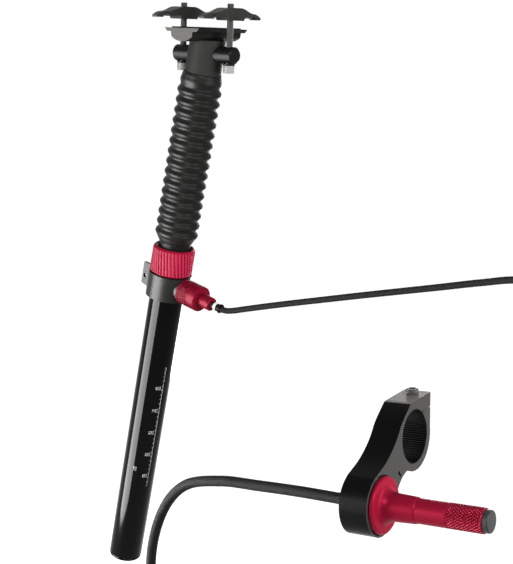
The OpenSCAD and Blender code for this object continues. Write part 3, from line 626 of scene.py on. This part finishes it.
# Inner post and springs
# Nothing of these shows while the gaiter is on: the sliding post, its guides and seals, the
# spring that raises it, and the lock pin with its return spring and wire.
bright_steel = finish("bright_steel", (0.62, 0.62, 0.61), (0.42, 0.42, 0.42), 0.16, scale=1200,
                      bump=0.00002, Metallic=1.0)
bearing_white = finish("bearing_nylon", (0.62, 0.61, 0.57), (0.5, 0.49, 0.45), 0.5)
plain_alloy = finish("plain_alloy", (0.5, 0.5, 0.51), (0.38, 0.38, 0.39), 0.3, Metallic=1.0)
seal_rubber = finish("seal_rubber", (0.012, 0.012, 0.012), (0.03, 0.03, 0.03), 0.5)


def coil(name, place, outer_r, length, wire, turns):
    """Coil spring along the local Z axis of a place: a round wire whose centre winds round the
    axis and climbs at a steady rate."""
    sides = 10
    steps = 24
    radius = outer_r - wire / 2
    share = np.linspace(0, 1, steps * turns + 1)[:, None]
    sweep = 2 * np.pi * turns * share
    ring = round_angles(sides)
    reach = radius + wire / 2 * np.cos(ring)
    height = wire / 2 + (length - wire) * share + wire / 2 * np.sin(ring)
    points = np.stack([reach * np.cos(sweep), reach * np.sin(sweep), height], axis=-1)
    ends = [np.repeat(points[i].mean(axis=0)[None, None], sides, axis=1) for i in (0, -1)]
    points = np.concatenate([ends[0], points, ends[1]])
    return surface(name, points @ place[:3, :3].T + place[:3, 3])


for node, material in (("upper_bushing", bearing_white), ("lower_guide", bearing_white),
                       ("topout_bumper", seal_rubber), ("wiper_seal", seal_rubber),
                       ("stanchion", tube_black), ("spring_perch", plain_alloy),
                       ("lock_pin", bright_steel), ("inner_wire", bright_steel),
                       ("cable_anchor", bright_steel), ("seat_liner", bearing_white)):
    frame["nodes"][node].data.materials.clear()
    frame["nodes"][node].data.materials.append(material)

spring_low, spring_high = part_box("main_spring")
spring_place = placed(np.eye(3), (0, 0, spring_low[2]))
spring_length = spring_high[2] - spring_low[2]
main_spring = coil("main_spring_wound", spring_place, spring_high[0], spring_length, wire=2.4 * MM, turns=20)
ridden(main_spring, "outer_post", "main_spring", bright_steel)
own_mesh(main_spring)

return_low, return_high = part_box("pin_spring")
return_place = placed(pin_axes, (return_low[0], 0, pin_z))
return_length = return_high[0] - return_low[0]
pin_spring = coil("pin_spring_wound", return_place, return_high[1], return_length, wire=0.8 * MM, turns=5)
ridden(pin_spring, "outer_post", "pin_spring", bright_steel)
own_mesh(pin_spring)

# Head
# A forged neck, matte dark grey, bonded onto the inner post. A black bar runs fore and aft
# through it, and its top is cut to a round saddle in which the cradle rocks.
neck_grey = finish("neck_matte_grey", (0.025, 0.025, 0.023), (0.037, 0.037, 0.034), 0.45, scale=1600,
                   bump=0.00004, Specular_IOR_Level=0.01)
bar_black = finish("bar_black", (0.006, 0.006, 0.006), (0.014, 0.014, 0.014), 0.3, scale=900, bump=0.00002,
                   Specular_IOR_Level=0.03)
ridden(dressed("head_neck", edge=0.4 * MM), "inner_post", "head_neck", neck_grey)
ridden(dressed("clamp_bar", edge=0.3 * MM), "inner_post", "clamp_bar", bar_black)

# Saddle clamp
# A cradle cut from an extruded profile, black with bare grey ends, carries the saddle's rails in
# two grooves. A cast gull-wing yoke hooks over both rails at each end of it.
cradle_black = crested("cradle_black", (0.01, 0.01, 0.0095), ((0.03, 0.03, 0.028), (0.04, 0.04, 0.038)),
                       (0.15, 0.146, 0.138), 0.55, scale=1500, bump=0.00003, Specular_IOR_Level=0.015)
yoke_grey = finish("yoke_grey", (0.011, 0.011, 0.0103), (0.042, 0.042, 0.0395), 0.4, scale=700, amount=1.0,
                   bump=0.0001, Specular_IOR_Level=0.06)
across_rails = np.array((0, 1, 0))
cradle = dressed("saddle_cradle", edge=0.35 * MM, pale=[(across_rails, 0, 1), (-across_rails, 0, 1)])
ridden(cradle, "saddle_clamp", "saddle_cradle", cradle_black)
for node in ("front_yoke", "rear_yoke"):
    ridden(dressed(node, edge=0.45 * MM), "saddle_clamp", node, yoke_grey)

# Clamp bolts
# Two steel socket-head bolts, head down, that draw the yokes towards the bar. Their threads are
# rolled, and each head sits on a black washer under the bar.
# pale is the heads' painted reflection and deep the sockets' painted shade
bolt_steel = crested("bolt_steel", (0.02, 0.02, 0.02), ((0.06, 0.06, 0.057), (0.1, 0.1, 0.096)),
                     (0.28, 0.28, 0.275), 0.3, scale=1400, bump=0.00002, Specular_IOR_Level=0.04)
bolt_r = 2.5 * MM
bolt_head_r, head_round = 4.3 * MM, 0.5 * MM
head_foot, head_top, bolt_tip = -12.9 * MM, -7.3 * MM, 36.9 * MM
thread_from = 4 * MM
thread_pitch = 0.8 * MM
thread_depth, thread_runout = 0.3 * MM, 0.4 * MM
socket_half = 2.0 * MM
socket_top = head_foot + 3 * MM
bolt_columns = 48
bolt_angle = round_angles(bolt_columns)
tip_bevel, tip_edge = 0.4 * MM, 0.5 * MM
shank_step = 0.1 * MM
shank = np.linspace(bolt_tip - tip_bevel, head_top, 1 + int((bolt_tip - head_top) / shank_step))
bolt_head = softened([(bolt_r, head_top), (bolt_head_r, head_top), (bolt_head_r, head_foot),
                      (bolt_r, head_foot)], head_round)
bolt_outline = np.concatenate([
    [(0, bolt_tip), (bolt_r - tip_edge, bolt_tip)], np.stack([np.full_like(shank, bolt_r), shank], axis=1),
    bolt_head[1:], [(socket_half, head_foot), (socket_half, socket_top), (0, socket_top)]])
thread_turn = (bolt_outline[:, 1:] / thread_pitch - bolt_angle / (2 * np.pi)) % 1
threaded = plateau(bolt_outline[:, 1:], thread_from, bolt_tip, thread_runout)
bolt_cut = thread_depth * np.abs(2 * thread_turn - 1) * threaded
bolt_cut[-3:-1] = socket_half - socket_half / np.cos(bolt_angle % (np.pi / 3) - np.pi / 6)
bolt_cut[-1] = 0
# the head is painted pale as a painted reflection of bright steel, against the darker shank
bolt_painted_shading = 0.5 + 0.5 * (bolt_outline[:, 1:] < head_top) * np.ones(bolt_columns)
# painted shade in the hex socket
bolt_painted_shading[-2:] = 0
fore = np.array(joints["front_bolt_lean"]["pos_m"]) - np.array(joints["rear_bolt_lean"]["pos_m"])
fore /= np.linalg.norm(fore)
bolt_axes = [fore, across_rails, np.cross(fore, across_rails)]
for end in ("front", "rear"):
    bolt_place = placed(bolt_axes, joints[end + "_bolt_lean"]["pos_m"])
    bolt_points = turned(bolt_outline, bolt_place, bolt_columns, bolt_cut)
    bolt = surface(end + "_bolt_threaded", bolt_points, crest=bolt_painted_shading)
    washer = dressed(end + "_washer", edge=0.15 * MM)
    ridden(bolt, end + "_clamp_bolt", end + "_bolt", bolt_steel)
    ridden(washer, end + "_clamp_bolt", end + "_washer", bar_black)

# Cable
# A black housing with a fine woven cover. It leaves the ferrule level, hangs in one loop beside
# the post and comes back to the remote, where it goes into the ring's back.
cable_d = 4.6 * MM
cable_points = MM * np.array([
    (57, 0, 245.5), (62.5, 0, 246.2), (69, 0, 248.8), (79, 0, 253.8), (97, 0, 262.8), (117, 0, 272.6),
    (150, 0, 288.5), (180, -1, 303), (210, -3, 317.4), (240, -7, 332), (270, -14, 347),
    (300, -26, 361.5), (329, -44, 370), (358, -66, 369), (384, -92, 356), (405, -122, 329),
    (416, -154, 290), (415, -186, 248), (403, -216, 212), (381, -244, 190), (355, -267, 184),
    (329, -286, 192), (309, -298, 212), (298, -305, 239), (294, -309, 268), (297, -310, 293),
    (307, -310, 311), (324, -308, 321), (342, -305.5, 327), (361, -303, 333), (385, -300, 340)])
lever_axis = np.array(mounts["handlebar"]["axis"])


def smooth_route(points, first, last, steps):
    """Smooth curve through the points, a cubic between each two, whose slope at a point is half
    the way from the one before to the one after. It leaves along first and arrives along last."""
    head = points[1] - 2 * np.linalg.norm(points[1] - points[0]) * first
    tail = points[-2] + 2 * np.linalg.norm(points[-1] - points[-2]) * last
    a, b, c, d = (np.vstack([head, points, tail])[i:len(points) - 1 + i, None] for i in range(4))
    u = np.linspace(0, 1, steps, endpoint=False)[None, :, None]
    square, cube = 2 * a - 5 * b + 4 * c - d, 3 * b - a - 3 * c + d
    curve = (2 * b + (c - a) * u + square * u ** 2 + cube * u ** 3) / 2
    return np.vstack([curve.reshape(-1, 3), points[-1:]])


def hose(name, path, radius, sides):
    """Round tube along a path, closed at both ends. Each ring stands square to the path and is
    carried on from the one before without twist. The UV map runs along the tube and round it."""
    heading = np.gradient(path, axis=0)
    heading /= np.linalg.norm(heading, axis=1)[:, None]
    across = [np.cross(heading[0], (0, 1, 0))]
    for ahead in heading[1:]:
        across.append(across[-1] - across[-1] @ ahead * ahead)
        across[-1] /= np.linalg.norm(across[-1])
    across = np.array(across)[:, None]
    upward = np.cross(heading[:, None], across)
    angle = np.linspace(0, 2 * np.pi, sides + 1)[None, :, None]
    rings = path[:, None] + radius * (across * np.cos(angle) + upward * np.sin(angle))
    rows, columns = rings.shape[:2]
    index = np.arange(rows * columns).reshape(rows, columns)
    quads = np.stack([index[:-1, :-1], index[:-1, 1:], index[1:, 1:], index[1:, :-1]], axis=-1)
    ends = [index[0, :-1][::-1].tolist(), index[-1, :-1].tolist()]
    along = np.concatenate([[0], np.cumsum(np.linalg.norm(np.diff(path, axis=0), axis=1))])
    round_it = np.linspace(0, 1, columns)
    unwrapped = np.stack(np.broadcast_arrays(along[:, None], round_it), axis=-1).reshape(-1, 2)
    mesh = bpy.data.meshes.new(name)
    mesh.from_pydata(rings.reshape(-1, 3).tolist(), [], quads.reshape(-1, 4).tolist() + ends)
    corners = np.empty(len(mesh.loops), np.int32)
    mesh.loops.foreach_get("vertex_index", corners)
    layer = mesh.uv_layers.new(name="along")
    layer.data.foreach_set("uv", unwrapped[corners].astype(np.float32).ravel())
    return finished(mesh)


def woven_cover(name):
    """Black housing cover. Two sets of fine strands wind round it in opposite directions, and
    the UV map carries them along the cable."""
    strands = 12
    lay = 9 * MM
    strand_height = 0.00015
    material = finish(name, (0.006, 0.006, 0.006), (0.014, 0.014, 0.014), 0.5, scale=800, bump=0.00002,
                      Specular_IOR_Level=0.025)
    tree = material.node_tree
    nodes, links = tree.nodes, tree.links
    shader = nodes["Principled BSDF"]
    along = nodes.new("ShaderNodeUVMap")
    along.uv_map = "along"
    split = nodes.new("ShaderNodeSeparateXYZ")
    links.new(along.outputs["UV"], split.inputs["Vector"])
    waves = []
    for sense in (1, -1):
        wind = worked_out(tree, "MULTIPLY", split.outputs["X"], sense * strands / lay * 2 * math.pi)
        phase = worked_out(tree, "MULTIPLY_ADD", split.outputs["Y"], strands * 2 * math.pi, wind)
        waves.append(worked_out(tree, "SINE", phase))
    crossing = worked_out(tree, "MULTIPLY", *waves)
    raised = shader.inputs["Normal"].links[0].from_node
    raised.inputs["Distance"].default_value = strand_height
    links.new(crossing, raised.inputs["Height"])
    level = nodes.new("ShaderNodeMapRange")
    level.inputs["From Min"].default_value = -1
    links.new(crossing, level.inputs["Value"])
    strand = mixed(tree, level.outputs["Result"], (0.002, 0.002, 0.002, 1), (0.012, 0.012, 0.0115, 1))
    links.new(strand, shader.inputs["Base Color"])
    return material


ahead = np.array((1.0, 0, 0))
cable_path = smooth_route(cable_points, ahead, lever_axis, steps=20)
cable = hose("cable_housing", cable_path, cable_d / 2, sides=20)
ridden(cable, "outer_post", "cable", woven_cover("cable_woven_black"))

# Remote body
# A machined arm, black anodised, with the joystick's ring at one end and the handlebar clamp at
# the other. The clamp's bore is serrated lengthwise, and one screw closes its slit.
remote_black = crested("remote_black", (0.0015, 0.0015, 0.0015),
                       ((0.004, 0.004, 0.004), (0.008, 0.008, 0.008)),
                       (0.14, 0.134, 0.126), 0.25, scale=1800, bump=0.00002, Specular_IOR_Level=0.03)
screw_steel = finish("screw_dark_steel", (0.05, 0.05, 0.05), (0.1, 0.1, 0.1), 0.25, Specular_IOR_Level=0.05)
lever_up = np.array(joints["joystick_side_tilt"]["axis"])
lever_side = np.cross(lever_up, lever_axis)
lever_axes = np.stack([lever_side, lever_up, lever_axis])
pad_turn = math.radians(59.7)
pad_face = math.cos(pad_turn) * lever_up - math.sin(pad_turn) * lever_side
bar_centre = np.array(mounts["handlebar"]["pos_m"])
clamp_r = 14.2 * MM
ring_r = 12.6 * MM
ring_below = lever_up @ (bar_centre - np.array(joints["joystick_tilt"]["pos_m"]))
flank_turn = pad_turn + math.radians(33)
flank_reach = -2 * MM
flank_rise = math.sqrt(clamp_r ** 2 - flank_reach ** 2)
flank_x = flank_reach * math.cos(pad_turn) - flank_rise * math.sin(pad_turn)
flank_top = flank_reach * math.sin(pad_turn) + flank_rise * math.cos(pad_turn)
waist_x, waist_rise = -10 * MM, 17.5 * MM
hollow_r = 40 * MM
hollow_x = waist_x - hollow_r
hollow_up = waist_rise - ring_below


def back_edge(height):
    """Where the arm's back flank stands, at a height above the handlebar's axis: the ring's circle,
    then a straight side hollowed by a wide arc, then the clamp's circle, cut off by a straight
    flank below the pad."""
    straight = flank_x - (flank_top - height) / math.tan(flank_turn)
    ring = -np.sqrt(np.clip(ring_r ** 2 - (height + ring_below) ** 2, 0, None))
    clamp = np.maximum(-np.sqrt(np.clip(clamp_r ** 2 - height ** 2, 0, None)), straight)
    hollow = hollow_x + np.sqrt(np.clip(hollow_r ** 2 - (height - hollow_up) ** 2, 0, None))
    arm = np.maximum(hollow, -ring_r - (clamp_r - ring_r) * (1 + height / ring_below))
    arm = np.where(height > -clamp_r, np.maximum(arm, straight), arm)
    arm = np.where((height > -ring_below) & (height < 0), arm, 0)
    return np.where(height > 0, straight, np.minimum(np.minimum(ring, clamp), arm))


def flush_arm(points):
    """Points of the arm without its ledges beside the clamp. The back flank's corners are blended:
    each point there moves to a bell-weighted mean of the flank's places just above and below it.
    In front nothing goes past the clamp's circle."""
    spread = 2.4 * MM
    touch = 0.05 * MM
    just_above = 0.01 * MM
    ledge = 5.6 * MM
    fade = 5 * MM
    local = (points - bar_centre) @ lever_axes.T
    height = local[:, 1]
    reach, samples = 3, 61
    offset = np.linspace(-reach, reach, samples)
    weight = np.exp(-offset ** 2 / 2)
    edge = back_edge(height)
    blended = back_edge(height[:, None] + spread * offset) @ (weight / weight.sum())
    share = np.clip((height + ring_below) / fade, 0, 1)
    behind = (height > -ring_below) & (height < flank_top - touch) & (local[:, 0] < edge + touch)
    local[:, 0] = np.where(behind, edge + share * (blended - edge), local[:, 0])
    radius = np.hypot(local[:, 0], height)
    proud = (height > -ledge) & (height < just_above) & (local[:, 0] > 0) & (radius > clamp_r)
    local[proud, :2] *= (clamp_r / radius[proud])[:, None]
    return local @ lever_axes + bar_centre


cut_step = 1 * MM
anywhere = -1
# painted light: the pad's face and the faces along the lever are painted paler, as if lit, and the arm's other
# faces darker
pad_from = bar_centre @ pad_face + 0.9 * clamp_r
end_painted_light, pad_painted_light = 0.7, 1
arm_cuts = [(bar_centre + height * lever_up, lever_up)
            for height in np.arange(-ring_below, flank_top, cut_step)]
remote_body = dressed("remote_body", edge=0.4 * MM, trim=flush_arm, cuts=arm_cuts,
                      pale=[(lever_axis, anywhere, end_painted_light), (pad_face, pad_from, pad_painted_light)])
ridden(remote_body, "outer_post", "remote_body", remote_black)
ridden(dressed("remote_screw", edge=0.6 * MM), "outer_post", "remote_screw", screw_steel)

bore_place = placed(lever_axes, bar_centre)
grip_r = mounts["handlebar"]["dims"]["r_mm"] * MM
grip_half = mounts["handlebar"]["dims"]["length_mm"] * MM / 2
serrations = 72
serration_depth = 0.35 * MM
bore_columns = 8 * serrations
bore_angle = round_angles(bore_columns)
tooth = np.abs(np.cos(serrations * bore_angle / 2))
tooth_painted_highlight, tooth_power = 0.65, 8
teeth_r, root_r = grip_r - 0.06 * MM, grip_r - 0.02 * MM
bore_outline = np.array([(root_r, -grip_half), (teeth_r, -grip_half), (teeth_r, grip_half),
                         (root_r, grip_half), (root_r, -grip_half)])
toothed = np.array([[0], [1], [1], [0], [0]])
bore_points = turned(bore_outline, bore_place, bore_columns, toothed * serration_depth * tooth)
# painted highlights on the serration tips and painted shade between the teeth and over the bore's ends
bore_teeth = surface("remote_bore_teeth", bore_points, crest=toothed * tooth_painted_highlight * tooth ** tooth_power)
bore_teeth.data.materials.append(remote_black)
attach(bore_teeth, "outer_post")

# Joystick
# A red anodised lever: a flange that flares down into a stepped rod, a diamond-knurled grip and
# a black plug in its end. The ball face behind the flange rocks in the ring.
lever_red = crested("lever_red", (0.04, 0.0005, 0.003), red_face, (0.34, 0.015, 0.047), 0.34, Metallic=0.14,
                    **red_finish)
pivot = np.array(joints["joystick_tilt"]["pos_m"])
pivot_ahead = 12 * MM
lever_place = placed(lever_axes, pivot - pivot_ahead * lever_axis)
flange_r = 11.35 * MM
rim_x = 0.45 * MM
ball_r = math.hypot(flange_r, pivot_ahead - rim_x)
rod_r = 4.9 * MM
lever_end = 43 * MM
ball_angle = np.linspace(0, math.asin(flange_r / ball_r), 12)
ball_face = np.stack([ball_r * np.sin(ball_angle), pivot_ahead - ball_r * np.cos(ball_angle)], axis=1)
flange_front = rim_x + 1 * MM
flange_bulge = 0.7 * MM
rim_r, face_r = 0.95 * flange_r, 0.76 * flange_r
rim_round, rod_round = 0.8 * MM, 0.3 * MM
flare_r = rod_r + 0.7 * MM
shank_r = rod_r + 0.3 * MM
fillet_x = 6.5 * MM
step_x, step_slope = 15.5 * MM, 0.4 * MM
fillet_angle = np.linspace(0, np.pi / 2, 16)
fillet = np.stack([face_r - (face_r - flare_r) * np.sin(fillet_angle),
                   fillet_x - (fillet_x - flange_front - flange_bulge) * np.cos(fillet_angle)], axis=1)
rim = softened([ball_face[-1], (flange_r, flange_front), (rim_r, flange_front + flange_bulge),
                fillet[0]], rim_round, steps=6)[1:-1]
rod = softened([fillet[-1], (shank_r, step_x), (rod_r, step_x + step_slope), (rod_r, lever_end),
                (0, lever_end)], rod_round)[1:]
lever_step = 0.12 * MM
lever_outline = resampled(np.concatenate([ball_face, rim, fillet, rod]), lever_step)
lever = knurled("joystick_turned", lever_outline, lever_place, starts=24, pitch=1.7 * MM, each=10,
                span=(28.5 * MM, 42.7 * MM), ramp=0.4 * MM, least_r=0.9 * rod_r)
ridden(lever, "joystick", "joystick_lever", lever_red)

plug_r, plug_round = rod_r - 0.5 * MM, 0.8 * MM
plug_from, plug_to = lever_end - 1 * MM, lever_end + 2.5 * MM
plug_outline = softened([(0, plug_from), (plug_r, plug_from), (plug_r, plug_to), (0, plug_to)],
                        plug_round, steps=6)
plug_black = finish("plug_rubber", (0.016, 0.018, 0.017), (0.026, 0.029, 0.027), 0.45, scale=1200,
                    Specular_IOR_Level=0.15)
lever_plug = surface("joystick_plug", turned(plug_outline, lever_place, columns=64))
ridden(lever_plug, "joystick", "lever_plug", plug_black)


# Floor and background
# A pale floor well below the post, which glows so that it looks white and still keeps a soft
# shadow, and a surround that is white to the camera and in reflections.
def white_when_seen(tree, plain):
    """Value that is 1 for camera, glossy and transmission rays and plain for all others."""
    path = tree.nodes.new("ShaderNodeLightPath")
    seen = plain
    for ray in ("Is Camera Ray", "Is Glossy Ray", "Is Transmission Ray"):
        seen = worked_out(tree, "MAXIMUM", seen, path.outputs[ray])
    return seen


floor_z = -0.6
floor_half = 6.0
floor_glow = 0.9
floor_unseen = 0.2
floor_grey, floor_rough = 0.6, 0.9
floor_mesh = bpy.data.meshes.new("floor")
floor_corners = [(-floor_half, -floor_half, floor_z), (floor_half, -floor_half, floor_z),
                 (floor_half, floor_half, floor_z), (-floor_half, floor_half, floor_z)]
floor_mesh.from_pydata(floor_corners, [], [(0, 1, 2, 3)])
floor = bpy.data.objects.new("floor", floor_mesh)
scene.collection.objects.link(floor)
floor_white = bpy.data.materials.new("floor_white")
floor_white.use_nodes = True
floor_shader = floor_white.node_tree.nodes["Principled BSDF"]
floor_shader.inputs["Base Color"].default_value = (floor_grey, floor_grey, floor_grey, 1)
floor_shader.inputs["Roughness"].default_value = floor_rough
floor_shader.inputs["Specular IOR Level"].default_value = 0
floor_shader.inputs["Emission Color"].default_value = (floor_glow, floor_glow, floor_glow, 1)
floor_seen = white_when_seen(floor_white.node_tree, floor_unseen)
floor_white.node_tree.links.new(floor_seen, floor_shader.inputs["Emission Strength"])
floor_mesh.materials.append(floor_white)

ambient = 0.18
world = bpy.data.worlds.new("studio")
world.use_nodes = True
scene.world = world
surround = world.node_tree.nodes["Background"]
surround.inputs["Color"].default_value = (1, 1, 1, 1)
world.node_tree.links.new(white_when_seen(world.node_tree, ambient), surround.inputs["Strength"])


# Studio lights
# Soft boxes on the camera's left and right and a weaker one behind light the post and the remote.
# A tall one on the left and one above show only as reflections: the bright line down the tube,
# and the thin lines on the gaiter.
def softbox(name, at, aim, width, height, watts, diffuse=True):
    """Area lamp at a point, turned to face another one. Without diffuse it shows only as a
    reflection."""
    lamp = bpy.data.lights.new(name, "AREA")
    lamp.shape = "RECTANGLE"
    lamp.size, lamp.size_y = width, height
    lamp.energy = watts
    box = bpy.data.objects.new(name, lamp)
    facing = np.array(at, float) - np.array(aim, float)
    facing /= np.linalg.norm(facing)
    side = np.cross((0, 0, 1), facing)
    side /= np.linalg.norm(side)
    axes = Matrix([side, np.cross(facing, side), facing]).transposed()
    box.matrix_world = Matrix.Translation(at) @ axes.to_4x4()
    box.visible_camera = False
    box.visible_diffuse = diffuse
    scene.collection.objects.link(box)


softbox("key_left", (-0.26, -1.34, 0.28), (0.15, -0.1, 0.25), 0.7, 0.9, 19)
softbox("strip_left", (-0.264, -0.594, -0.02), (0, 0, -0.02), 0.63, 0.84, 88, diffuse=False)
softbox("fill_right", (1.15, -0.05, 0.75), (0.3, -0.2, 0.3), 0.8, 0.8, 22)
softbox("top_front", (0.7, -0.85, 1.2), (0, 0, 0.35), 0.6, 0.25, 20, diffuse=False)
softbox("fill_back", (-0.4, 1.15, 0.05), (0.1, 0, 0.25), 0.6, 0.8, 16)

scene.view_settings.view_transform = "Standard"
